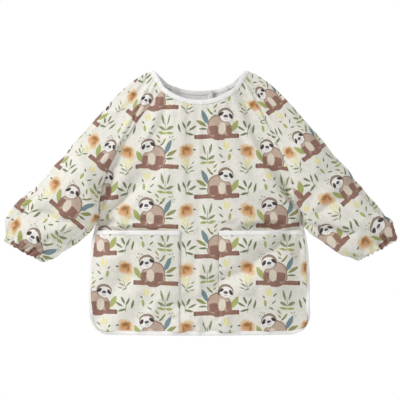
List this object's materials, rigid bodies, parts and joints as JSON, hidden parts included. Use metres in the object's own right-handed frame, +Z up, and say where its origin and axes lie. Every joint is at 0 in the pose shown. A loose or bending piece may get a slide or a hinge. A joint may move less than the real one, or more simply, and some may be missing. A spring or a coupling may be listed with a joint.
{
  "type": "artist smock apron",
  "caption": "Child's long-sleeved art smock with raglan sleeves, elastic cuffs, two open pockets, bound edges and an overlapping hook-and-loop back.",
  "frame": {"origin": "centre of the neck opening, on the middle plane between the front and the back", "axes": "+Z up along the wearer's spine, -Y the way the wearer faces, +X the wearer's left (to the right in a front view)"},
  "size_m": [0.7508, 0.0979, 0.5078],
  "materials": {
    "printed_fabric": "smooth water-repellent polyester with a slight sheen, cream ground with a hand-painted jungle print, white reverse",
    "binding_tape": "folded white bias binding, matt",
    "elastic": "knitted white elastic tape",
    "hook_loop": "white nylon hook-and-loop tape"
  },
  "bodies": {
    "smock": {"front_panel": "printed_fabric", "neck_binding": "binding_tape", "hem_binding": "binding_tape", "left_raglan": "printed_fabric", "left_sleeve_bend": "printed_fabric", "left_back_strip": "printed_fabric", "left_pocket": "printed_fabric", "left_pocket_binding": "binding_tape", "right_raglan": "printed_fabric", "right_sleeve_bend": "printed_fabric", "right_back_strip": "printed_fabric", "right_pocket": "printed_fabric", "right_pocket_binding": "binding_tape"},
    "left_sleeve": {"left_sleeve_tube": "printed_fabric", "left_cuff_casing": "printed_fabric", "left_cuff_elastic": "elastic"},
    "left_back": {"left_back_flap": "printed_fabric", "left_back_neck_binding": "binding_tape", "left_back_edge_binding": "binding_tape", "upper_hook_patch": "hook_loop", "lower_hook_patch": "hook_loop"},
    "right_sleeve": {"right_sleeve_tube": "printed_fabric", "right_cuff_casing": "printed_fabric", "right_cuff_elastic": "elastic"},
    "right_back": {"right_back_flap": "printed_fabric", "right_back_neck_binding": "binding_tape", "right_back_edge_binding": "binding_tape", "upper_loop_patch": "hook_loop", "lower_loop_patch": "hook_loop"}
  },
  "joints": [
    {"name": "left_sleeve_swing", "type": "hinge", "parent": "smock", "child": "left_sleeve", "pos_m": [0.24905, 0, -0.22349], "axis": [0, -1, 0], "range_deg": [-10, 45], "deforming": ["left_sleeve_bend"]},
    {"name": "left_back_open", "type": "hinge", "parent": "smock", "child": "left_back", "pos_m": [0.05, 0.0146, -0.00878], "axis": [0.4762, -0.0355, -0.8786], "range_deg": [0, 60]},
    {"name": "right_sleeve_swing", "type": "hinge", "parent": "smock", "child": "right_sleeve", "pos_m": [-0.24905, 0, -0.22349], "axis": [0, 1, 0], "range_deg": [-10, 45], "deforming": ["right_sleeve_bend"]},
    {"name": "right_back_open", "type": "hinge", "parent": "smock", "child": "right_back", "pos_m": [-0.05, 0.0146, -0.00878], "axis": [0.4762, 0.0355, 0.8786], "range_deg": [0, 30]}
  ],
  "couplings": [
    {"joint": "right_back_open", "follows": "left_back_open", "ratio": 0.5}
  ]
}
